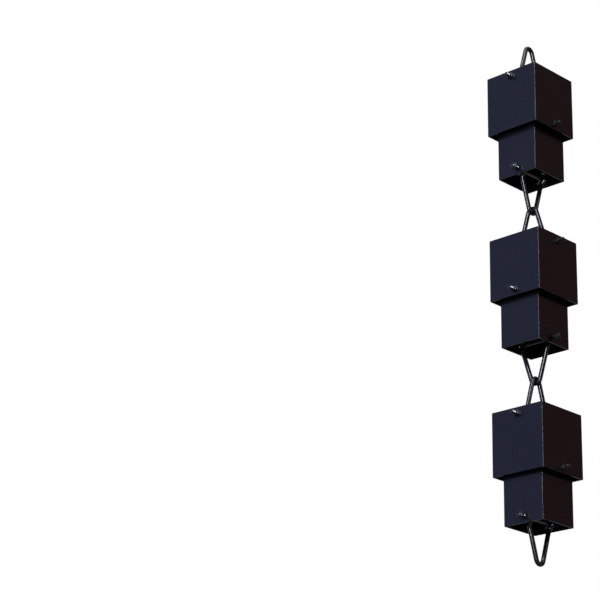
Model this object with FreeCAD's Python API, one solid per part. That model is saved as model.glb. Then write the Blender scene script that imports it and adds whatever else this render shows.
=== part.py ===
"""A length of rain chain: three square cups hung one under another on wire bails.

Each cup is two open pieces of square tube. The wide upper tube holds the narrow lower
tube inside its bottom end, on a bolt that crosses both. Two more bolts cross the cup,
square to that one: near the top it hangs from a bail, and near the bottom it carries
the next. A bail is one piece of round wire, bent to a narrow V, with an eye round the
bolt at the end of each leg. The bails of neighbouring cups hook through each other,
and every second cup is turned by a quarter, as links of a chain are.

Frame: +Z up, millimetres. The origin is the point that the chain hangs from, the
underside of the top bail's bend. The bolts run along X and Y.
"""

import FreeCAD
import Part

import math
import os

# Chain
CUP_COUNT = 3
CUP_GAP = 87.0  # clear height between one cup's bottom edge and the next cup's top edge

# Upper tube, the wide one
UPPER_WIDTH = 80.0
UPPER_HEIGHT = 84.0
UPPER_WALL = 1.5

# Lower tube, the narrow one
LOWER_WIDTH = 61.0
LOWER_HEIGHT = 78.0
LOWER_WALL = 1.5
TUBE_OVERLAP = 16.0  # how far the lower tube reaches up into the upper one

# Both tubes
OUTSIDE_CORNER_RADIUS = 1.0  # of the four long corners; inside they are sharp

# Bolt heights, from the edge that each bolt is near
TOP_BOLT_DROP = 8.0  # below the upper tube's top edge
MIDDLE_BOLT_RISE = 8.0  # above the upper tube's bottom edge
BOTTOM_BOLT_RISE = 9.0  # above the lower tube's bottom edge

# M5 hexagon bolts and lock nuts
BOLT_DIAMETER = 5.0
ACROSS_FLATS = 8.0
HEAD_HEIGHT = 3.5
NUT_HEX_HEIGHT = 3.4
NUT_COLLAR_HEIGHT = 1.6  # round collar over the locking ring
NUT_COLLAR_WALL = 1.1
HEX_TURN = 12.0  # how far the hexagons are turned from square to the tube
TAIL = 5.0  # bolt end that shows past a nut that is run up to the wall
LOOSE_PLAY = 5.0  # how far the bottom bolt's nut stands off its wall

# Fits
HOLE_CLEARANCE = 0.25  # radial, bolt to tube
EYE_CLEARANCE = 0.3  # radial, bolt to the eye of a bail
THREAD_CLEARANCE = 0.05  # radial, bolt to nut
LINK_PLAY = 0.3  # between two bails where they hook together

# Bails
WIRE_DIAMETER = 6.0
BEND_RADIUS = 7.0  # of the wire's centre line, at the point of the V
EYE_RIM = 6.0  # metal round the eye's hole
EYE_THICKNESS = 6.0
EYE_SIDE_GAP = 5.5  # from an eye's outer face to the lower tube's inner wall

# Worked out from the sizes above
WIRE_RADIUS = WIRE_DIAMETER / 2
BOLT_RADIUS = BOLT_DIAMETER / 2
HOLE_RADIUS = BOLT_RADIUS + HOLE_CLEARANCE
NUT_HEIGHT = NUT_HEX_HEIGHT + NUT_COLLAR_HEIGHT
EYE_BORE = BOLT_RADIUS + EYE_CLEARANCE
EYE_OFFSET = LOWER_WIDTH / 2 - LOWER_WALL - EYE_SIDE_GAP - EYE_THICKNESS / 2
BOLT_SPACING = BOTTOM_BOLT_RISE + CUP_GAP + TOP_BOLT_DROP  # one cup's bottom bolt to the next top bolt
BAIL_REACH = (BOLT_SPACING + WIRE_DIAMETER + LINK_PLAY) / 2  # bolt axis to the bend's centre line
CUP_HEIGHT = UPPER_HEIGHT - TUBE_OVERLAP + LOWER_HEIGHT
CUP_PITCH = CUP_HEIGHT + CUP_GAP
FIRST_BOLT_Z = WIRE_RADIUS - BAIL_REACH

AXIS_X = FreeCAD.Vector(1, 0, 0)
AXIS_Y = FreeCAD.Vector(0, 1, 0)
AXIS_Z = FreeCAD.Vector(0, 0, 1)

# The side that each bolt's head is on, for cups that hang square and cups turned by a quarter
SQUARE_HEADS = {"top": AXIS_Y, "middle": -AXIS_X, "bottom": AXIS_Y}
TURNED_HEADS = {"top": -AXIS_X, "middle": AXIS_Y, "bottom": -AXIS_X}


def upright_prism(outline, height):
    """Solid of a closed outline in the plane z = 0, drawn up to a height."""
    return Part.Face(outline).extrude(AXIS_Z * height)


def square_outline(width):
    """Sharp-cornered square, centred on Z."""
    half = width / 2
    corners = [(half, half), (-half, half), (-half, -half), (half, -half), (half, half)]
    return Part.makePolygon([FreeCAD.Vector(x, y, 0) for x, y in corners])


def square_tube(width, wall, height, bottom):
    """Open square tube with its lower cut end at a given height."""
    block = upright_prism(square_outline(width), height)
    corners = [edge for edge in block.Edges if edge.BoundBox.ZLength > height / 2]
    block = block.makeFillet(OUTSIDE_CORNER_RADIUS, corners)
    tube = block.cut(upright_prism(square_outline(width - 2 * wall), height))
    tube.translate(AXIS_Z * bottom)
    return tube


def drilled(tube, direction, z, width):
    """The tube with one bolt's hole through both walls that it crosses."""
    start = direction * -width + AXIS_Z * z
    return tube.cut(Part.makeCylinder(HOLE_RADIUS, 2 * width, start, direction))


def hexagon(height):
    """Upright hexagonal prism on the plane z = 0."""
    corner = ACROSS_FLATS / 2 / math.cos(math.radians(30))
    angles = [math.radians(60 * side + HEX_TURN) for side in range(7)]
    points = [FreeCAD.Vector(corner * math.cos(a), corner * math.sin(a), 0) for a in angles]
    return upright_prism(Part.makePolygon(points), height)


def bolt(length):
    """Hexagon bolt: the head's underside on the plane z = 0, the head above it and the shank below."""
    shank = Part.makeCylinder(BOLT_RADIUS, length, AXIS_Z * -length)
    return shank.fuse(hexagon(HEAD_HEIGHT)).removeSplitter()


def lock_nut():
    """Lock nut on the plane z = 0: a hexagon, then the collar that holds the locking ring."""
    bore = BOLT_RADIUS + THREAD_CLEARANCE
    collar = Part.makeCylinder(bore + NUT_COLLAR_WALL, NUT_HEIGHT)
    body = hexagon(NUT_HEX_HEIGHT).fuse(collar).removeSplitter()
    return body.cut(Part.makeCylinder(bore, NUT_HEIGHT))


def bail():
    """Wire bail hung on a bolt along Y at the origin: two eyes, two legs, and the bend below.

    A leg is the line from the middle of its eye's rim that just touches the bend's circle,
    so the wire runs into the bend with no kink.
    """
    bend_z = BEND_RADIUS - BAIL_REACH
    root = EYE_BORE + EYE_RIM / 2  # where a leg ends, below the bolt's axis
    rise = -root - bend_z  # from the bend's centre up to the roots
    leg_length = math.sqrt(EYE_OFFSET**2 + rise**2 - BEND_RADIUS**2)
    lean = math.atan2(EYE_OFFSET, rise) - math.atan2(BEND_RADIUS, leg_length)
    touch_y = BEND_RADIUS * math.cos(lean)
    touch_z = bend_z - BEND_RADIUS * math.sin(lean)

    touch = FreeCAD.Vector(0, touch_y, touch_z)
    along_leg = FreeCAD.Vector(0, math.sin(lean), math.cos(lean))
    section = Part.Face(Part.Wire(Part.makeCircle(WIRE_RADIUS, touch, along_leg)))
    wire = section.revolve(AXIS_Z * bend_z, -AXIS_X, 180 - 2 * math.degrees(lean))
    for side in (1, -1):
        foot = FreeCAD.Vector(0, side * touch_y, touch_z)
        direction = FreeCAD.Vector(0, side * math.sin(lean), math.cos(lean))
        leg = Part.makeCylinder(WIRE_RADIUS, leg_length, foot, direction)
        face = AXIS_Y * (side * EYE_OFFSET - EYE_THICKNESS / 2)
        disc = Part.makeCylinder(EYE_BORE + EYE_RIM, EYE_THICKNESS, face, AXIS_Y)
        hole = Part.makeCylinder(EYE_BORE, EYE_THICKNESS, face, AXIS_Y)
        wire = wire.fuse(leg.fuse(disc).cut(hole))
    return wire.removeSplitter()


def placed(shape, turn, position):
    """The shape, turned about the origin and then moved."""
    shape.Placement = FreeCAD.Placement(position, turn)
    return shape


def fastener(name, head_side, z, width, stand_off, tail):
    """A cross bolt with its head against one wall, and its nut outside the other wall."""
    toward_head = FreeCAD.Rotation(AXIS_Z, head_side)
    toward_nut = FreeCAD.Rotation(AXIS_Z, -head_side)
    length = width + stand_off + NUT_HEIGHT + tail
    head_seat = head_side * (width / 2) + AXIS_Z * z
    nut_seat = -head_side * (width / 2 + stand_off) + AXIS_Z * z
    return {
        f"{name}_bolt": placed(bolt(length), toward_head, head_seat),
        f"{name}_nut": placed(lock_nut(), toward_nut, nut_seat),
    }


def cup(number):
    """All the pieces of one cup, with the bails above and below it."""
    turned = number % 2 == 0
    heads = TURNED_HEADS if turned else SQUARE_HEADS
    top_bolt_z = FIRST_BOLT_Z - (number - 1) * CUP_PITCH
    upper_bottom = top_bolt_z + TOP_BOLT_DROP - UPPER_HEIGHT
    middle_bolt_z = upper_bottom + MIDDLE_BOLT_RISE
    lower_bottom = upper_bottom + TUBE_OVERLAP - LOWER_HEIGHT
    bottom_bolt_z = lower_bottom + BOTTOM_BOLT_RISE

    upper = square_tube(UPPER_WIDTH, UPPER_WALL, UPPER_HEIGHT, upper_bottom)
    upper = drilled(upper, heads["top"], top_bolt_z, UPPER_WIDTH)
    lower = square_tube(LOWER_WIDTH, LOWER_WALL, LOWER_HEIGHT, lower_bottom)
    lower = drilled(lower, heads["bottom"], bottom_bolt_z, LOWER_WIDTH)

    quarter = FreeCAD.Rotation(AXIS_Z, 90 if turned else 0)
    upside_down = quarter.multiply(FreeCAD.Rotation(AXIS_Y, 180))
    pieces = {
        "upper_tube": drilled(upper, heads["middle"], middle_bolt_z, UPPER_WIDTH),
        "lower_tube": drilled(lower, heads["middle"], middle_bolt_z, LOWER_WIDTH),
        "top_link": placed(bail(), upside_down, AXIS_Z * top_bolt_z),
        "bottom_link": placed(bail(), quarter, AXIS_Z * bottom_bolt_z),
    }
    pieces |= fastener("top", heads["top"], top_bolt_z, UPPER_WIDTH, 0, TAIL)
    pieces |= fastener("middle", heads["middle"], middle_bolt_z, UPPER_WIDTH, 0, TAIL)
    pieces |= fastener("bottom", heads["bottom"], bottom_bolt_z, LOWER_WIDTH, LOOSE_PLAY, 0)
    return {f"cup_{number}_{name}": shape for name, shape in pieces.items()}


def main():
    """Writes every piece of every cup to its own file."""
    os.makedirs("parts", exist_ok=True)
    for number in range(1, CUP_COUNT + 1):
        for name, shape in cup(number).items():
            shape.exportStep(f"parts/{name}.step")


main()
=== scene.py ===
"""Finish and fine shape of a length of rain chain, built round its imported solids.

The chain is three powder-coated cups of square steel tube. Bent-wire bails hang them one
under another on cross bolts with lock nuts. Every solid is stood for by a finer piece of
the same form, with eased cut edges, turned chamfers, rolled threads and wire bent in one
run. The places and the outer sizes come from the solids' own boxes.
"""

from __future__ import annotations

import logging
import math
from dataclasses import dataclass
from enum import Enum
from typing import Callable

import bpy
from mathutils import Matrix, Vector

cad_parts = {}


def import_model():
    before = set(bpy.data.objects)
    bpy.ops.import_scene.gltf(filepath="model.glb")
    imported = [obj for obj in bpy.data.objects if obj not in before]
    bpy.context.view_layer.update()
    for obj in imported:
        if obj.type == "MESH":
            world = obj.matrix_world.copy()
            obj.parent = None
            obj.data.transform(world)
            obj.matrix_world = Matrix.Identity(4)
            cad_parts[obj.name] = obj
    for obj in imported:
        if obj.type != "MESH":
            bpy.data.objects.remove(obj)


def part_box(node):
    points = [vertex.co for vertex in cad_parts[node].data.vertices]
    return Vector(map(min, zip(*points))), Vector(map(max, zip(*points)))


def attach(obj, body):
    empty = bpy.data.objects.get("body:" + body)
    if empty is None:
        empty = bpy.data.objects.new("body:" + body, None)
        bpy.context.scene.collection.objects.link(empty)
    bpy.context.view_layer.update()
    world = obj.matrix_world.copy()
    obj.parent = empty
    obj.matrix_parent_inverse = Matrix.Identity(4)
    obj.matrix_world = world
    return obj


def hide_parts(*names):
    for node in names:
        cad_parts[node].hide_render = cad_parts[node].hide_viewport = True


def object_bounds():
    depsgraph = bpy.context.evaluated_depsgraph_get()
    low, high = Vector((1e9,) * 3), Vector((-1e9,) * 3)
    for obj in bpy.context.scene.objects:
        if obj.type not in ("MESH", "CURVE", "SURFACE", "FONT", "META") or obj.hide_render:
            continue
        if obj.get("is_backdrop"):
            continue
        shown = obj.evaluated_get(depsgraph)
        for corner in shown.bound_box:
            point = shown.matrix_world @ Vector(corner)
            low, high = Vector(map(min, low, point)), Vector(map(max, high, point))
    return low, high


LOG = logging.getLogger("rain_chain")
MM = 0.001
CUP_COUNT = 3

# Sides of a round cut or blank, plain and fine
ROUND = 48
FINE_ROUND = 64
# A face is level where its normal's height is over this
LEVEL = 0.9
# The range that a noise pattern mostly keeps to
NOISE_LOW, NOISE_HIGH = 0.3, 0.7

Piece = bpy.types.Object


class Axis(Enum):
    """The two directions that a cross bolt can have."""

    X = 0
    Y = 1


class Slot(Enum):
    """The record's material slots."""

    TUBE = "powder_coat"
    WIRE = "link_coat"
    FASTENER = "fastener_coat"


# Modelling with operators


def nothing_selected() -> None:
    """Leaves edit mode and deselects all, so the next operator meets only its own piece."""
    if bpy.context.object and bpy.context.object.mode != "OBJECT":
        bpy.ops.object.mode_set(mode="OBJECT")
    bpy.ops.object.select_all(action="DESELECT")


def take_up(piece: Piece) -> Piece:
    """Makes one piece the only selected and the active one.

    Args:
        piece: The piece to work on.

    Returns:
        The same piece.
    """
    nothing_selected()
    piece.select_set(True)
    bpy.context.view_layer.objects.active = piece
    return piece


def fresh(add: Callable[..., set], **settings: object) -> Piece:
    """Adds a primitive with nothing else selected and applies its scale and turn.

    Args:
        add: The operator that adds the primitive.
        settings: The operator's own settings.

    Returns:
        The new object.
    """
    nothing_selected()
    add(**settings)
    piece = bpy.context.object
    bpy.ops.object.transform_apply(location=True, rotation=True, scale=True)
    return piece


def rod(radius: float, bottom: float, top: float, sides: int) -> Piece:
    """Upright closed cylinder or prism on the Z axis.

    Args:
        radius: From the axis to the corners, in metres.
        bottom: Height of the lower end.
        top: Height of the upper end.
        sides: Number of sides.

    Returns:
        The new object.
    """
    return fresh(bpy.ops.mesh.primitive_cylinder_add, vertices=sides, radius=radius,
                 depth=top - bottom, location=(0, 0, (top + bottom) / 2))


def edit(piece: Piece, mode: str, edges: Callable[[Vector, Vector], bool] | None = None,
         faces: Callable[[Vector, Vector], bool] | None = None) -> None:
    """Enters edit mode with only the wanted edges or faces selected.

    Args:
        piece: The piece to edit.
        mode: EDGE or FACE.
        edges: Says of an edge's two ends whether it is wanted.
        faces: Says of a face's centre and normal whether it is wanted.
    """
    take_up(piece)
    bpy.ops.object.mode_set(mode="EDIT")
    bpy.ops.mesh.select_mode(type=mode)
    bpy.ops.mesh.select_all(action="DESELECT")
    bpy.ops.object.mode_set(mode="OBJECT")
    mesh = piece.data
    if edges:
        for edge in mesh.edges:
            edge.select = edges(*(mesh.vertices[v].co for v in edge.vertices))
    if faces:
        for face in mesh.polygons:
            face.select = faces(face.center, face.normal)
    bpy.ops.object.mode_set(mode="EDIT")


def carved(piece: Piece, tool: Piece, operation: str) -> Piece:
    """Applies a Boolean of one piece with another, which is used up.

    Args:
        piece: The piece that stays.
        tool: The piece that cuts, keeps or joins it.
        operation: DIFFERENCE, INTERSECT or UNION.

    Returns:
        The piece that stays.
    """
    take_up(piece)
    step = piece.modifiers.new("carve", "BOOLEAN")
    step.object = tool
    step.operation = operation
    step.solver = "EXACT"
    bpy.ops.object.modifier_apply(modifier=step.name)
    bpy.data.objects.remove(tool)
    return piece


def eased(piece: Piece, width: float, over_deg: float, segments: int = 3) -> Piece:
    """Rounds every edge that is sharper than an angle.

    Args:
        piece: The piece to round.
        width: Width of the rounding, in metres.
        over_deg: Edges that turn by more than this are rounded.
        segments: Steps across the rounding.

    Returns:
        The same piece.
    """
    take_up(piece)
    step = piece.modifiers.new("ease", "BEVEL")
    step.width = width
    step.segments = segments
    step.limit_method = "ANGLE"
    step.angle_limit = math.radians(over_deg)
    step.miter_outer = "MITER_ARC"
    bpy.ops.object.modifier_apply(modifier=step.name)
    return piece


def smoothed(piece: Piece, under_deg: float = 40) -> Piece:
    """Welds the piece, turns its faces outwards and shades its gentle edges smooth.

    Args:
        piece: The piece to finish.
        under_deg: Edges that turn by less than this are shaded smooth.

    Returns:
        The same piece.
    """
    weld = 0.001 * MM
    edit(piece, "FACE")
    bpy.ops.mesh.select_all(action="SELECT")
    bpy.ops.mesh.remove_doubles(threshold=weld)
    bpy.ops.mesh.normals_make_consistent(inside=False)
    bpy.ops.object.mode_set(mode="OBJECT")
    bpy.ops.object.shade_smooth_by_angle(angle=math.radians(under_deg))
    step = piece.modifiers.new("flats", "WEIGHTED_NORMAL")
    step.keep_sharp = True
    bpy.ops.object.modifier_apply(modifier=step.name)
    return piece


def set_in_place(master: Piece, name: str, place: Matrix) -> Piece:
    """Copies a piece, with a mesh of its own, to its place in the chain.

    Args:
        master: The piece as it was modelled on the bench.
        name: The copy's name.
        place: From the bench to the chain.

    Returns:
        The copy, with its object at the origin and its place in its mesh.
    """
    copy = bpy.data.objects.new(name, master.data.copy())
    copy.data.name = name
    copy.data.transform(place)
    bpy.context.scene.collection.objects.link(copy)
    return copy


def along(axis: Axis, sign: int, seat: Vector) -> Matrix:
    """The turn that points the bench's Z along a cross bolt, and the move to its seat.

    Args:
        axis: The bolt's direction.
        sign: 1 or -1 along it.
        seat: Where the bench's origin goes.

    Returns:
        The placement.
    """
    target = Vector((sign, 0, 0)) if axis is Axis.X else Vector((0, sign, 0))
    return Matrix.Translation(seat) @ target.to_track_quat("Z", "X").to_matrix().to_4x4()


# Finishes


def linear(code: str) -> tuple[float, float, float, float]:
    """An sRGB hex colour in linear light.

    Args:
        code: Six hex digits after a hash.

    Returns:
        Red, green, blue and a full alpha.
    """
    values = (int(code[i:i + 2], 16) / 255 for i in (1, 3, 5))
    return (*(v / 12.92 if v <= 0.04045 else ((v + 0.055) / 1.055) ** 2.4 for v in values), 1.0)


def node(material: bpy.types.Material | bpy.types.World, kind: str, settings: dict | None = None,
         **inputs: object) -> bpy.types.Node:
    """Adds one shader node with its settings and its inputs.

    Args:
        material: The material or world that gets the node.
        kind: The node's type.
        settings: The node's own properties.
        inputs: Values or sockets, by the input's name with spaces as underscores.

    Returns:
        The node.
    """
    made = material.node_tree.nodes.new(kind)
    for key, value in (settings or {}).items():
        setattr(made, key, value)
    for key, value in inputs.items():
        socket = made.inputs[key.replace("_", " ")]
        if isinstance(value, bpy.types.NodeSocket):
            material.node_tree.links.new(value, socket)
        else:
            socket.default_value = value
    return made


@dataclass(frozen=True)
class PowderCoat:
    """Black polyester powder coat on steel, sprayed dry and baked to a satin or a glossy skin.

    The baked skin flows out to a faint orange peel, with a finer grain in it and a slow
    change of gloss from thick to thin film. It has no metal flake and no clear top coat.
    """

    name: str
    colour: str
    thin_colour: str
    roughness: float
    roughness_spread: float
    specular: float
    peel_mm: float
    peel_depth_mm: float
    grain_mm: float
    grain_depth_mm: float
    cloud_mm: float

    def make(self) -> bpy.types.Material:
        """Builds the material.

        Returns:
            The material, on Object coordinates.
        """
        material = bpy.data.materials.new(self.name)
        material.use_nodes = True
        material.node_tree.nodes.clear()
        place = node(material, "ShaderNodeTexCoord").outputs["Object"]
        cloud = node(material, "ShaderNodeTexNoise", Vector=place, Scale=1 / (self.cloud_mm * MM),
                     Detail=3.0)
        colour = node(material, "ShaderNodeMix", {"data_type": "RGBA"}, Factor=cloud.outputs["Fac"])
        colour.inputs["A"].default_value = linear(self.colour)
        colour.inputs["B"].default_value = linear(self.thin_colour)
        gloss = node(material, "ShaderNodeMapRange", Value=cloud.outputs["Fac"],
                     From_Min=NOISE_LOW, From_Max=NOISE_HIGH,
                     To_Min=self.roughness - self.roughness_spread,
                     To_Max=self.roughness + self.roughness_spread)
        peel = node(material, "ShaderNodeTexNoise", Vector=place, Scale=1 / (self.peel_mm * MM),
                    Detail=1.0)
        grain = node(material, "ShaderNodeTexNoise", Vector=place, Scale=1 / (self.grain_mm * MM),
                     Detail=1.0)
        peeled = node(material, "ShaderNodeBump", Height=peel.outputs["Fac"], Strength=1.0,
                      Distance=self.peel_depth_mm * MM)
        grained = node(material, "ShaderNodeBump", Height=grain.outputs["Fac"], Strength=1.0,
                       Distance=self.grain_depth_mm * MM, Normal=peeled.outputs["Normal"])
        skin = node(material, "ShaderNodeBsdfPrincipled", Base_Color=colour.outputs["Result"],
                    Roughness=gloss.outputs["Result"], Normal=grained.outputs["Normal"])
        skin.inputs["Specular IOR Level"].default_value = self.specular
        node(material, "ShaderNodeOutputMaterial", Surface=skin.outputs["BSDF"])
        return material


@dataclass(frozen=True)
class BlackZinc:
    """Black-passivated zinc plate on a rolled steel fastener: thin, glossy and a little uneven."""

    name: str = "black_zinc_plate"
    colour: str = "#0d0d0f"
    worn_colour: str = "#17171a"
    roughness: float = 0.13
    polish: float = 0.06
    wear: float = 0.08
    specular: float = 0.9
    patch_mm: float = 2.5
    tool_mark_mm: float = 0.35
    tool_mark_depth_mm: float = 0.006

    def make(self) -> bpy.types.Material:
        """Builds the material.

        Returns:
            The material, on Object coordinates.
        """
        material = bpy.data.materials.new(self.name)
        material.use_nodes = True
        material.node_tree.nodes.clear()
        place = node(material, "ShaderNodeTexCoord").outputs["Object"]
        patch = node(material, "ShaderNodeTexNoise", Vector=place, Scale=1 / (self.patch_mm * MM),
                     Detail=2.0)
        colour = node(material, "ShaderNodeMix", {"data_type": "RGBA"}, Factor=patch.outputs["Fac"])
        colour.inputs["A"].default_value = linear(self.colour)
        colour.inputs["B"].default_value = linear(self.worn_colour)
        gloss = node(material, "ShaderNodeMapRange", Value=patch.outputs["Fac"],
                     From_Min=NOISE_LOW, From_Max=NOISE_HIGH,
                     To_Min=self.roughness - self.polish,
                     To_Max=self.roughness + self.wear)
        marks = node(material, "ShaderNodeTexNoise", Vector=place,
                     Scale=1 / (self.tool_mark_mm * MM), Detail=2.0)
        bump = node(material, "ShaderNodeBump", Height=marks.outputs["Fac"], Strength=1.0,
                    Distance=self.tool_mark_depth_mm * MM)
        skin = node(material, "ShaderNodeBsdfPrincipled", Base_Color=colour.outputs["Result"],
                    Roughness=gloss.outputs["Result"], Normal=bump.outputs["Normal"])
        skin.inputs["Specular IOR Level"].default_value = self.specular
        node(material, "ShaderNodeOutputMaterial", Surface=skin.outputs["BSDF"])
        return material


TUBE_COAT = PowderCoat("satin_black_powder_coat", colour="#0b0b0f", thin_colour="#0e0e12",
                       roughness=0.22, roughness_spread=0.04, specular=0.5, peel_mm=1.8,
                       peel_depth_mm=0.004, grain_mm=0.4, grain_depth_mm=0.0015, cloud_mm=30.0)
WIRE_COAT = PowderCoat("glossy_black_powder_coat", colour="#0b0b0e", thin_colour="#0f0f12",
                       roughness=0.14, roughness_spread=0.03, specular=0.8, peel_mm=1.4,
                       peel_depth_mm=0.0012, grain_mm=0.4, grain_depth_mm=0.0003, cloud_mm=14.0)


# Pieces on the bench


@dataclass
class SquareTube:
    """Open square tube, upright, with its lower cut end on the bench and its bolt holes drilled."""

    width: float
    height: float
    holes: tuple[tuple[Axis, float], ...]
    wall: float = 1.5 * MM
    corner_radius: float = 1.0 * MM
    corner_steps: int = 8
    hole_radius: float = 2.75 * MM
    eased_edge: float = 0.35 * MM

    def build(self) -> Piece:
        """Models the tube.

        Returns:
            The tube, with rounded corners, a wall, holes and eased cut edges.
        """
        tube = fresh(bpy.ops.mesh.primitive_cube_add, size=1, location=(0, 0, self.height / 2),
                     scale=(self.width, self.width, self.height))
        edit(tube, "FACE", faces=lambda centre, normal: abs(normal.z) > LEVEL)
        bpy.ops.mesh.delete(type="ONLY_FACE")
        bpy.ops.object.mode_set(mode="OBJECT")
        step = tube.modifiers.new("wall", "SOLIDIFY")
        step.thickness = self.wall
        step.offset = -1
        step.use_even_offset = True
        bpy.ops.object.modifier_apply(modifier=step.name)
        mid_wall = (self.width - self.wall) / 2
        edit(tube, "EDGE",
             edges=lambda a, b: abs(a.z - b.z) > self.height / 2 and abs(a.x) > mid_wall)
        bpy.ops.mesh.bevel(offset=self.corner_radius, segments=self.corner_steps, affect="EDGES")
        bpy.ops.object.mode_set(mode="OBJECT")
        for axis, rise in self.holes:
            drill = rod(self.hole_radius, -self.width, self.width, ROUND)
            drill.data.transform(along(axis, 1, Vector((0, 0, rise))))
            carved(tube, drill, "DIFFERENCE")
        eased(tube, self.eased_edge, over_deg=50)
        return smoothed(tube)


def arc_pull(angle: float, radius: float) -> float:
    """The handle length with which one Bezier segment follows an arc.

    Args:
        angle: The arc's angle, in radians.
        radius: The arc's radius.

    Returns:
        The distance from a knot to its handle.
    """
    return 4 / 3 * math.tan(angle / 4) * radius


@dataclass
class Bail:
    """One round wire bent to a narrow V, with an eye at the end of each leg.

    It hangs on a bolt along Y through the bench's origin. Each leg leans out from the bend,
    swings over to one side below the bolt and closes round it.
    """

    reach: float
    eye_offset: float
    eye_radius: float
    wire_radius: float = 3.0 * MM
    bend_radius: float = 7.0 * MM
    neck_drop: float = 13.0 * MM
    eye_from_deg: float = -45.0
    eye_to_deg: float = 225.0
    eye_steps: int = 3
    neck_pull: float = 0.4
    leg_pull: float = 1 / 3
    sides: int = 32
    steps_per_knot: int = 12
    rounded_end: float = 0.7 * MM

    def half(self) -> list[tuple[Vector, Vector, Vector]]:
        """The wire's line from the bend's lowest point to the eye's cut end.

        Returns:
            Knots of the line, each with the handle before it, the knot and the handle after it.
        """
        centre_z = self.bend_radius - self.reach
        root = self.eye_radius
        rise = -root - centre_z
        leg = math.sqrt(self.eye_offset ** 2 + rise ** 2 - self.bend_radius ** 2)
        lean = math.atan2(self.eye_offset, rise) - math.atan2(self.bend_radius, leg)
        up = Vector((0, math.sin(lean), math.cos(lean)))

        apex = Vector((0, 0, -self.reach))
        pull = arc_pull(math.pi / 2 - lean, self.bend_radius)
        sideways = Vector((0, pull, 0))
        touch = Vector((0, self.bend_radius * math.cos(lean),
                        centre_z - self.bend_radius * math.sin(lean)))
        foot = Vector((0, self.eye_offset, -root))
        neck = foot - up * ((self.neck_drop - root) / up.z)

        def on_eye(angle: float) -> tuple[Vector, Vector]:
            """The place and the heading of the wire's line at an angle round the eye."""
            spot = Vector((math.cos(angle), 0, math.sin(angle))) * self.eye_radius
            heading = Vector((-math.sin(angle), 0, math.cos(angle)))
            return spot + Vector((0, self.eye_offset, 0)), heading

        start, end = math.radians(self.eye_from_deg), math.radians(self.eye_to_deg)
        angles = [start + (end - start) * k / self.eye_steps for k in range(self.eye_steps + 1)]
        eye_pull = arc_pull((end - start) / self.eye_steps, self.eye_radius)
        first, _ = on_eye(start)
        neck_pull = (first - neck).length * self.neck_pull
        leg_pull = (neck - touch).length * self.leg_pull
        knots = [(apex - sideways, apex, apex + sideways),
                 (touch - up * pull, touch, touch + up * leg_pull),
                 (neck - up * leg_pull, neck, neck + up * neck_pull)]
        for k, angle in enumerate(angles):
            spot, heading = on_eye(angle)
            before = eye_pull if k else neck_pull
            knots.append((spot - heading * before, spot, spot + heading * eye_pull))
        return knots

    def build(self) -> Piece:
        """Models the bail.

        Returns:
            The bail, with its cut ends rounded over.
        """
        near = self.half()
        flip = Vector((1, -1, 1))
        far = [(after * flip, knot * flip, before * flip)
               for before, knot, after in reversed(near[1:])]
        knots = far + near
        nothing_selected()
        bpy.ops.curve.primitive_bezier_curve_add()
        wire = bpy.context.object
        wire.matrix_world = Matrix.Identity(4)
        shape = wire.data
        shape.dimensions = "3D"
        shape.resolution_u = self.steps_per_knot
        shape.bevel_mode = "ROUND"
        shape.bevel_depth = self.wire_radius
        shape.bevel_resolution = (self.sides - 4) // 2
        shape.use_fill_caps = True
        points = shape.splines[0].bezier_points
        points.add(len(knots) - len(points))
        for point, (before, knot, after) in zip(points, knots):
            point.handle_left_type = point.handle_right_type = "FREE"
            point.co, point.handle_left, point.handle_right = knot, before, after
        bpy.ops.object.convert(target="MESH")
        wire = bpy.context.object
        eased(wire, self.rounded_end, over_deg=60)
        return smoothed(wire, under_deg=50)


@dataclass
class Hexagon:
    """Hexagon blank with its corners turned down to a 30 degree chamfer."""

    height: float
    across_flats: float
    turn_deg: float = 12.0
    chamfer_deg: float = 30.0
    flat_share: float = 0.96
    chamfer_both: bool = False

    def build(self) -> Piece:
        """Models the hexagon, standing on the bench.

        Returns:
            The hexagon, still without a bore or a shank.
        """
        corner = self.across_flats / 2 / math.cos(math.pi / 6)
        half_side_deg = 30
        prism = rod(corner, 0, self.height, 6)
        prism.data.transform(Matrix.Rotation(math.radians(self.turn_deg + half_side_deg), 4, "Z"))
        small = self.across_flats / 2 * self.flat_share
        drop = (corner - small) * math.tan(math.radians(self.chamfer_deg))
        spare = 0.2 * MM
        below = drop if self.chamfer_both else -spare
        past_corner = corner * 1.001
        blank = rod(past_corner, below, self.height - drop, FINE_ROUND)
        self.turned_down(blank, 1, drop, small / past_corner)
        if self.chamfer_both:
            self.turned_down(blank, -1, drop, small / past_corner)
        return carved(prism, blank, "INTERSECT")

    @staticmethod
    def turned_down(blank: Piece, side: int, drop: float, share: float) -> None:
        """Draws one end of a round blank out to a smaller end.

        Args:
            blank: The round blank.
            side: 1 for the upper end and -1 for the lower one.
            drop: How far the end is drawn out.
            share: The new end's size as a share of the blank's.
        """
        edit(blank, "FACE", faces=lambda centre, normal: normal.z * side > LEVEL)
        bpy.ops.mesh.extrude_region_move(TRANSFORM_OT_translate={"value": (0, 0, side * drop)})
        bpy.ops.transform.resize(value=(share, share, 1))
        bpy.ops.object.mode_set(mode="OBJECT")


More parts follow.
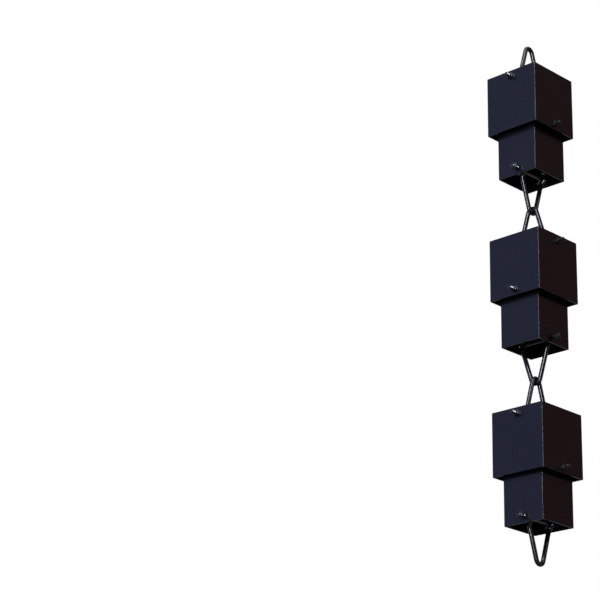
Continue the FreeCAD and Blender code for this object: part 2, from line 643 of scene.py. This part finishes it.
@dataclass
class HexBolt:
    """M5 hexagon bolt. Its head stands on the bench, and its shank hangs below."""

    length: float
    head_height: float
    across_flats: float
    radius: float = 2.5 * MM
    pitch: float = 0.8 * MM
    threaded: float = 22.0 * MM
    flank_deg: float = 30.0
    point: float = 0.6 * MM
    point_slack: float = 0.05 * MM
    crest_slack: float = 0.02 * MM
    coil_steps: int = 32
    eased_edge: float = 0.12 * MM

    def build(self) -> Piece:
        """Models the bolt.

        Returns:
            The bolt, with a turned head and a rolled thread at its far end.
        """
        bolt = Hexagon(self.head_height, self.across_flats).build()
        eased(bolt, self.eased_edge, over_deg=50, segments=2)
        sink, lap = 0.5 * MM, 0.3 * MM
        carved(bolt, rod(self.radius, self.threaded - self.length - lap, sink, ROUND), "UNION")
        carved(bolt, self.thread(), "UNION")
        return smoothed(bolt)

    def thread(self) -> Piece:
        """Models the threaded end.

        Returns:
            A closed threaded rod, pointed at its lower end.
        """
        # The metric form, up the pitch: 4/16 of root, 5/16 of flank, 2/16 of crest, 5/16 of flank
        root_flat, flank, crest = self.pitch / 4, self.pitch * 5 / 16, self.pitch / 8
        depth = flank / math.tan(math.radians(self.flank_deg))
        root = self.radius - self.crest_slack - depth
        spare_turns = 3
        low = -self.length - spare_turns * self.pitch
        turns = math.ceil(self.threaded / self.pitch) + 2 * spare_turns
        nothing_selected()
        bpy.ops.mesh.primitive_plane_add(size=self.pitch)
        thread = bpy.context.object
        bpy.ops.object.mode_set(mode="EDIT")
        bpy.ops.mesh.select_mode(type="VERT")
        bpy.ops.mesh.merge(type="CENTER")
        bpy.ops.transform.translate(value=(root, 0, low))
        for out, rise in ((0, root_flat), (depth, flank), (0, crest), (-depth, flank)):
            bpy.ops.mesh.extrude_region_move(TRANSFORM_OT_translate={"value": (out, 0, rise)})
        bpy.ops.object.mode_set(mode="OBJECT")
        coil = thread.modifiers.new("coil", "SCREW")
        coil.screw_offset = self.pitch
        coil.iterations = turns
        coil.steps = coil.render_steps = self.coil_steps
        coil.use_merge_vertices = True
        bpy.ops.object.modifier_apply(modifier=coil.name)
        edit(thread, "FACE")
        bpy.ops.mesh.select_all(action="SELECT")
        weld = 0.002 * MM
        bpy.ops.mesh.remove_doubles(threshold=weld)
        overrun = self.pitch / 2
        self.cut_level(thread, -self.length - overrun, keep_above=True)
        self.cut_level(thread, self.threaded - self.length + overrun, keep_above=False)
        bpy.ops.mesh.select_all(action="SELECT")
        bpy.ops.mesh.normals_make_consistent(inside=False)
        bpy.ops.object.mode_set(mode="OBJECT")
        wide = self.radius + self.point
        blank = rod(wide, self.point - self.length, self.threaded - self.length, ROUND)
        Hexagon.turned_down(blank, -1, self.point, (root - self.point_slack) / wide)
        return carved(thread, blank, "INTERSECT")

    @staticmethod
    def cut_level(thread: Piece, height: float, keep_above: bool) -> None:
        """Cuts the coiled thread off square and closes the cut. The piece is left in edit mode.

        Args:
            thread: The coiled surface.
            height: Where it is cut.
            keep_above: Whether the part above the cut stays.
        """
        fine = 0.0001 * MM
        take_up(thread)
        bpy.ops.object.mode_set(mode="EDIT")
        bpy.ops.mesh.select_all(action="SELECT")
        bpy.ops.mesh.bisect(plane_co=(0, 0, height), plane_no=(0, 0, 1), clear_inner=keep_above,
                            clear_outer=not keep_above, threshold=fine)
        edit(thread, "EDGE",
             edges=lambda a, b: max(abs(a.z - height), abs(b.z - height)) < 10 * fine)
        bpy.ops.mesh.edge_face_add()


@dataclass
class LockNut:
    """M5 lock nut on the bench: a hexagon, and above it the collar that holds the locking ring."""

    hexagon_height: float
    height: float
    across_flats: float
    bore: float = 2.55 * MM
    collar_wall: float = 1.1 * MM
    ring_width: float = 0.5 * MM
    ring_depth: float = 0.35 * MM
    eased_edge: float = 0.18 * MM

    def build(self) -> Piece:
        """Models the nut.

        Returns:
            The nut, with its collar's mouth stepped down to the locking ring.
        """
        nut = Hexagon(self.hexagon_height, self.across_flats, chamfer_both=True).build()
        sink = 1.0 * MM
        outer = self.bore + self.collar_wall
        collar = rod(outer, self.hexagon_height - sink, self.height, FINE_ROUND)
        carved(nut, collar, "UNION")
        spare = 1.0 * MM
        carved(nut, rod(self.bore, -spare, self.height + spare, ROUND), "DIFFERENCE")
        mouth = self.bore + self.ring_width
        mouth_floor = self.height - self.ring_depth
        carved(nut, rod(mouth, mouth_floor, self.height + spare, ROUND), "DIFFERENCE")
        eased(nut, self.eased_edge, over_deg=40, segments=2)
        return smoothed(nut)


# The chain


@dataclass
class Bolting:
    """One cross bolt of a cup with its nut, as their solids' boxes give them."""

    bolt_node: str
    nut_node: str
    head_height: float = 3.5 * MM

    @property
    def axis(self) -> Axis:
        """The bolt's direction: its box's longest side."""
        low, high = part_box(self.bolt_node)
        return Axis.X if high.x - low.x > high.y - low.y else Axis.Y

    @property
    def middle(self) -> Vector:
        """The middle of the bolt's box."""
        low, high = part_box(self.bolt_node)
        return (low + high) / 2

    @property
    def height(self) -> float:
        """How high the bolt's axis is."""
        return self.middle.z

    @property
    def nut_side(self) -> int:
        """1 where the nut is on the positive side of the axis, and -1 where it is on the other."""
        low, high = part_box(self.nut_node)
        return 1 if (low + high)[self.axis.value] > 0 else -1

    @property
    def length(self) -> float:
        """The shank's length."""
        low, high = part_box(self.bolt_node)
        return (high - low)[self.axis.value] - self.head_height

    def head_place(self) -> Matrix:
        """The placement of the bolt, whose head is on the side away from the nut."""
        low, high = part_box(self.bolt_node)
        k = self.axis.value
        seat = Vector((0, 0, self.height))
        seat[k] = low[k] + self.head_height if self.nut_side > 0 else high[k] - self.head_height
        return along(self.axis, -self.nut_side, seat)

    def nut_place(self) -> Matrix:
        """The placement of the nut."""
        low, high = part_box(self.nut_node)
        k = self.axis.value
        seat = Vector((0, 0, self.height))
        seat[k] = low[k] if self.nut_side > 0 else high[k]
        return along(self.axis, self.nut_side, seat)


class RainChain:
    """All the pieces of the chain. Each kind is modelled once and then copied to its places."""

    def __init__(self) -> None:
        """Makes the three finishes and a cross bolting for each bolt of every cup."""
        self.coats = {Slot.TUBE: TUBE_COAT.make(), Slot.WIRE: WIRE_COAT.make(),
                      Slot.FASTENER: BlackZinc().make()}
        self.boltings = {(n, where): Bolting(f"cup_{n}_{where}_bolt", f"cup_{n}_{where}_nut")
                         for n in range(1, CUP_COUNT + 1) for where in ("top", "middle", "bottom")}

    def tube(self, which: str, first: str, second: str) -> Piece:
        """Models one of the first cup's tubes, standing on the bench.

        Args:
            which: upper or lower.
            first: The bolt near one end.
            second: The bolt near the other end.

        Returns:
            The tube.
        """
        low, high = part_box(f"cup_1_{which}_tube")
        holes = tuple((self.boltings[1, where].axis, self.boltings[1, where].height - low.z)
                      for where in (first, second))
        return SquareTube(high.x - low.x, high.z - low.z, holes).build()

    def bail(self) -> Piece:
        """Models the bail that hangs from the first cup.

        Returns:
            The bail, with its bolt's axis through the bench's origin.
        """
        low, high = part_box("cup_1_bottom_link")
        wire = Bail.wire_radius
        eye = (high.x - low.x) / 2 - wire
        reach = self.boltings[1, "bottom"].height - low.z - wire
        return Bail(reach, (high.y - low.y) / 2 - wire, eye).build()

    def add(self, master: Piece, name: str, place: Matrix, body: str, stands_for: str,
            slot: Slot) -> None:
        """Puts one finished copy into the chain.

        Args:
            master: The piece on the bench.
            name: The copy's name.
            place: From the bench to the chain.
            body: The body that it rides on.
            stands_for: The solid that it replaces.
            slot: Where it takes its finish from.
        """
        piece = set_in_place(master, name, place)
        piece.data.materials.clear()
        piece.data.materials.append(self.coats[slot])
        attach(piece, body)
        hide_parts(stands_for)
        LOG.info("%s rides on %s: %d faces", name, body, len(piece.data.polygons))

    def hang_cup(self, number: int, masters: dict[str, Piece]) -> None:
        """Puts the pieces of one cup and its two bails in place.

        Args:
            number: The cup's number, from the top.
            masters: The pieces on the bench, by kind.
        """
        turned = self.boltings[number, "top"].axis is Axis.X
        quarter = Matrix.Rotation(math.pi / 2 if turned else 0, 4, "Z")
        upper, lower = f"cup_{number}_upper", f"cup_{number}_lower"
        for which, kind, body in (("upper", "wide", upper), ("lower", "narrow", lower)):
            solid = f"cup_{number}_{which}_tube"
            low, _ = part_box(solid)
            stand = Matrix.Translation((0, 0, low.z)) @ quarter
            self.add(masters[which], f"cup_{number}_{kind}_tube", stand, body, solid, Slot.TUBE)

        over, as_made = Matrix.Rotation(math.pi, 4, "Y"), Matrix.Identity(4)
        above = "hanging_link" if number == 1 else f"cup_{number}_top_link"
        below = f"cup_{number}_bottom_link"
        for where, body, flip in (("top", above, over), ("bottom", below, as_made)):
            hang = Matrix.Translation((0, 0, self.boltings[number, where].height)) @ quarter @ flip
            self.add(masters["bail"], f"cup_{number}_{where}_bail", hang, body,
                     f"cup_{number}_{where}_link", Slot.WIRE)

        for where, bolt, body in (("top", "long_bolt", upper), ("middle", "long_bolt", upper),
                                  ("bottom", "short_bolt", lower)):
            bolting = self.boltings[number, where]
            self.add(masters[bolt], f"cup_{number}_{where}_screw", bolting.head_place(), body,
                     bolting.bolt_node, Slot.FASTENER)
            self.add(masters["nut"], f"cup_{number}_{where}_lock_nut", bolting.nut_place(), body,
                     bolting.nut_node, Slot.FASTENER)

    def build(self) -> None:
        """Models each kind of piece and hangs the cups."""
        across_flats, nut_hexagon, nut_height = 8.0 * MM, 3.4 * MM, 5.0 * MM
        long_one, short_one = self.boltings[1, "top"], self.boltings[1, "bottom"]
        masters = {
            "upper": self.tube("upper", "middle", "top"),
            "lower": self.tube("lower", "bottom", "middle"),
            "bail": self.bail(),
            "long_bolt": HexBolt(long_one.length, long_one.head_height, across_flats).build(),
            "short_bolt": HexBolt(short_one.length, short_one.head_height, across_flats).build(),
            "nut": LockNut(nut_hexagon, nut_height, across_flats).build(),
        }
        for number in range(1, CUP_COUNT + 1):
            self.hang_cup(number, masters)
        for master in masters.values():
            bpy.data.objects.remove(master)


# Studio


@dataclass(frozen=True)
class Viewpoint:
    """The photograph's camera, below the chain and to its right, looking up past its left side."""

    picture: int = 600
    sensor: float = 36.0
    lens: float = 126.85
    heading_deg: float = 134.47
    pitch_deg: float = 20.68
    roll_deg: float = -1.16
    distance: float = 2.727
    middle_pixel: tuple[float, float] = (534.0, 294.9)

    def build(self, middle: Vector) -> None:
        """Adds the camera so that the chain's middle shows at its pixel of the photograph.

        Args:
            middle: The chain's middle, on its centre line.
        """
        heading, pitch, roll = (math.radians(angle) for angle in
                                (self.heading_deg, self.pitch_deg, self.roll_deg))
        forward = Vector((math.cos(pitch) * math.cos(heading), math.cos(pitch) * math.sin(heading),
                          math.sin(pitch)))
        level = Vector((math.sin(heading), -math.cos(heading), 0))
        lift = level.cross(forward)
        right = level * math.cos(roll) - lift * math.sin(roll)
        up = level * math.sin(roll) + lift * math.cos(roll)
        pixels = self.lens / self.sensor * self.picture
        across, down = ((p - self.picture / 2) / pixels for p in self.middle_pixel)
        ray = (forward + right * across - up * down).normalized()
        bpy.ops.object.camera_add()
        camera = bpy.context.object
        camera.name = "photo_camera"
        camera.data.lens = self.lens
        camera.data.sensor_width = self.sensor
        camera.data.clip_end = 100.0
        turn = Matrix((right, up, -forward)).transposed().to_4x4()
        camera.matrix_world = Matrix.Translation(middle - ray * self.distance) @ turn
        bpy.context.scene.camera = camera


def looked_at(material: bpy.types.Material | bpy.types.World) -> bpy.types.NodeSocket:
    """Tells looking at a surface from being lit by it.

    Args:
        material: The material or world that gets the nodes.

    Returns:
        1 for the camera and for what shows in gloss or through a clear piece, 0 for soft light.
    """
    path = node(material, "ShaderNodeLightPath").outputs
    total = path["Is Camera Ray"]
    for ray in ("Is Glossy Ray", "Is Transmission Ray"):
        larger = node(material, "ShaderNodeMath", {"operation": "MAXIMUM"})
        material.node_tree.links.new(total, larger.inputs[0])
        material.node_tree.links.new(path[ray], larger.inputs[1])
        total = larger.outputs[0]
    return total


@dataclass(frozen=True)
class Lamp:
    """A soft box lamp that looks at the chain's middle."""

    name: str
    azimuth_deg: float
    elevation_deg: float
    distance: float
    width: float
    height: float
    glow: float
    colour: str = "#ffffff"
    in_gloss: bool = True

    def build(self, middle: Vector) -> None:
        """Adds the lamp.

        Args:
            middle: What it looks at.
        """
        azimuth, elevation = math.radians(self.azimuth_deg), math.radians(self.elevation_deg)
        level = math.cos(elevation)
        back = Vector((math.sin(azimuth) * level, -math.cos(azimuth) * level, math.sin(elevation)))
        bpy.ops.object.light_add(type="AREA", location=middle + back * self.distance)
        lamp = bpy.context.object
        lamp.name = self.name
        lamp.rotation_mode = "QUATERNION"
        lamp.rotation_quaternion = (-back).to_track_quat("-Z", "Y")
        lamp.data.shape = "RECTANGLE"
        lamp.data.size = self.width
        lamp.data.size_y = self.height
        lamp.data.energy = math.pi * self.width * self.height * self.glow
        lamp.data.color = linear(self.colour)[:3]
        lamp.visible_glossy = self.in_gloss


@dataclass(frozen=True)
class Card:
    """A card that shows only in gloss, upright round the chain or flat at its bottom height.

    A dim one keeps the white surround off the black coat's flat walls. A bright strip draws
    the streaks on the wires and the near corners.
    """

    name: str
    azimuth_deg: float
    width: float
    colour: str
    distance: float = 2.2
    bottom: float = -3.1
    top: float = 3.8
    flat: bool = False
    strength: float = 1.0

    def build(self, middle: Vector) -> None:
        """Adds the card.

        Args:
            middle: What it stands round.
        """
        azimuth = math.radians(self.azimuth_deg)
        tilt = 0 if self.flat else math.pi / 2
        tall = self.width if self.flat else self.top - self.bottom
        place = Vector((math.sin(azimuth), -math.cos(azimuth), 0)) * self.distance
        place.z = self.bottom if self.flat else (self.top + self.bottom) / 2
        nothing_selected()
        bpy.ops.mesh.primitive_plane_add(size=1, location=middle + place,
                                         rotation=(tilt, 0, azimuth))
        bpy.ops.transform.resize(value=(self.width, tall, 1), orient_type="LOCAL")
        card = bpy.context.object
        bpy.ops.object.transform_apply(location=True, rotation=True, scale=True)
        card.name = self.name
        paint = bpy.data.materials.new(self.name)
        paint.use_nodes = True
        paint.node_tree.nodes.clear()
        glow = node(paint, "ShaderNodeEmission", Color=linear(self.colour), Strength=self.strength)
        node(paint, "ShaderNodeOutputMaterial", Surface=glow.outputs["Emission"])
        card.data.materials.append(paint)
        card.visible_camera = card.visible_diffuse = False
        card.visible_shadow = card.visible_transmission = False
        card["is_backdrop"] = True


@dataclass(frozen=True)
class Studio:
    """Plain pale floor, white surround and soft lamps."""

    floor_height: float = -3.2
    floor_size: float = 60.0
    floor_colour: str = "#c4c4c4"
    floor_lift: float = 0.93
    room_colour: str = "#ffffff"
    room_level: float = 0.15

    def build(self, middle: Vector) -> None:
        """Adds the floor, the surround and the lamps.

        Args:
            middle: The chain's middle, on its centre line.
        """
        floor = fresh(bpy.ops.mesh.primitive_plane_add, size=self.floor_size,
                      location=(0, 0, self.floor_height))
        floor.name = "floor"
        floor.data.materials.append(self.floor_paint())
        floor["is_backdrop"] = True
        self.surround()
        for lamp in LAMPS:
            lamp.build(middle)
        for card in CARDS:
            card.build(middle)

    def floor_paint(self) -> bpy.types.Material:
        """Makes the floor's matt paint, which is lifted to nearly white where it is looked at.

        Returns:
            The material. It keeps the object's shadow.
        """
        paint = bpy.data.materials.new("pale_floor")
        paint.use_nodes = True
        paint.node_tree.nodes.clear()
        lift = node(paint, "ShaderNodeMath", {"operation": "MULTIPLY"})
        paint.node_tree.links.new(looked_at(paint), lift.inputs[0])
        lift.inputs[1].default_value = self.floor_lift
        matt = node(paint, "ShaderNodeBsdfDiffuse", Color=linear(self.floor_colour))
        glow = node(paint, "ShaderNodeEmission", Color=linear(self.room_colour),
                    Strength=lift.outputs[0])
        both = node(paint, "ShaderNodeAddShader")
        paint.node_tree.links.new(matt.outputs[0], both.inputs[0])
        paint.node_tree.links.new(glow.outputs[0], both.inputs[1])
        node(paint, "ShaderNodeOutputMaterial", Surface=both.outputs[0])
        return paint

    def surround(self) -> None:
        """Makes the world: white to look at and in gloss, and a soft even light on the object."""
        world = bpy.data.worlds.new("white_surround")
        bpy.context.scene.world = world
        world.use_nodes = True
        world.node_tree.nodes.clear()
        room = linear(self.room_colour)
        soft = node(world, "ShaderNodeBackground", Color=room, Strength=self.room_level)
        white = node(world, "ShaderNodeBackground", Color=room, Strength=1.0)
        either = node(world, "ShaderNodeMixShader", Fac=looked_at(world))
        world.node_tree.links.new(soft.outputs[0], either.inputs[1])
        world.node_tree.links.new(white.outputs[0], either.inputs[2])
        node(world, "ShaderNodeOutputWorld", Surface=either.outputs[0])


# Azimuth 0 stands on -Y and 90 on +X. The photograph's camera is near 45. Sizes are in metres
LAMPS = (
    Lamp("key_lamp", azimuth_deg=5, elevation_deg=22, distance=3.4, width=1.5, height=4.0,
         glow=17.0, colour="#eef3ff", in_gloss=False),
    Lamp("right_fill", azimuth_deg=95, elevation_deg=35, distance=2.6, width=1.2, height=1.2,
         glow=1.0, colour="#fff6f0"),
)
CARDS = (
    Card("left_card", azimuth_deg=-40, width=4.2, colour="#7984b4", bottom=-0.1),
    Card("low_left_card", azimuth_deg=-40, width=4.2, colour="#3c3e4a", top=-0.1),
    Card("right_card", azimuth_deg=144, width=4.0, colour="#654748"),
    Card("front_flag", azimuth_deg=52, width=4.4, colour="#48484d"),
    Card("bright_strip", azimuth_deg=22.5, width=0.3, colour="#f2f5ff", distance=2.1,
         bottom=-0.9, strength=24.0),
    Card("black_flag", azimuth_deg=223, width=3.0, colour="#38383c"),
    Card("ground_flag", azimuth_deg=0, width=5.0, colour="#505056", distance=0.0,
         bottom=-2.6, flat=True),
    Card("rim_strip", azimuth_deg=216, width=1.2, colour="#a8a8ae", distance=1.9,
         bottom=-1.3, top=-0.4),
    Card("right_rim_strip", azimuth_deg=142, width=1.2, colour="#8c8482", distance=1.9,
         bottom=-2.2, top=-0.6),
)


def main() -> None:
    """Builds the chain round its solids, then the studio."""
    logging.basicConfig(level=logging.INFO, format="%(name)s: %(message)s")
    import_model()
    cad_low, cad_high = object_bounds()
    middle = Vector((0, 0, (cad_low.z + cad_high.z) / 2))
    Viewpoint().build(middle)
    RainChain().build()
    Studio().build(middle)
    bpy.context.scene.view_settings.view_transform = "Standard"


if __name__ == "__main__":
    main()
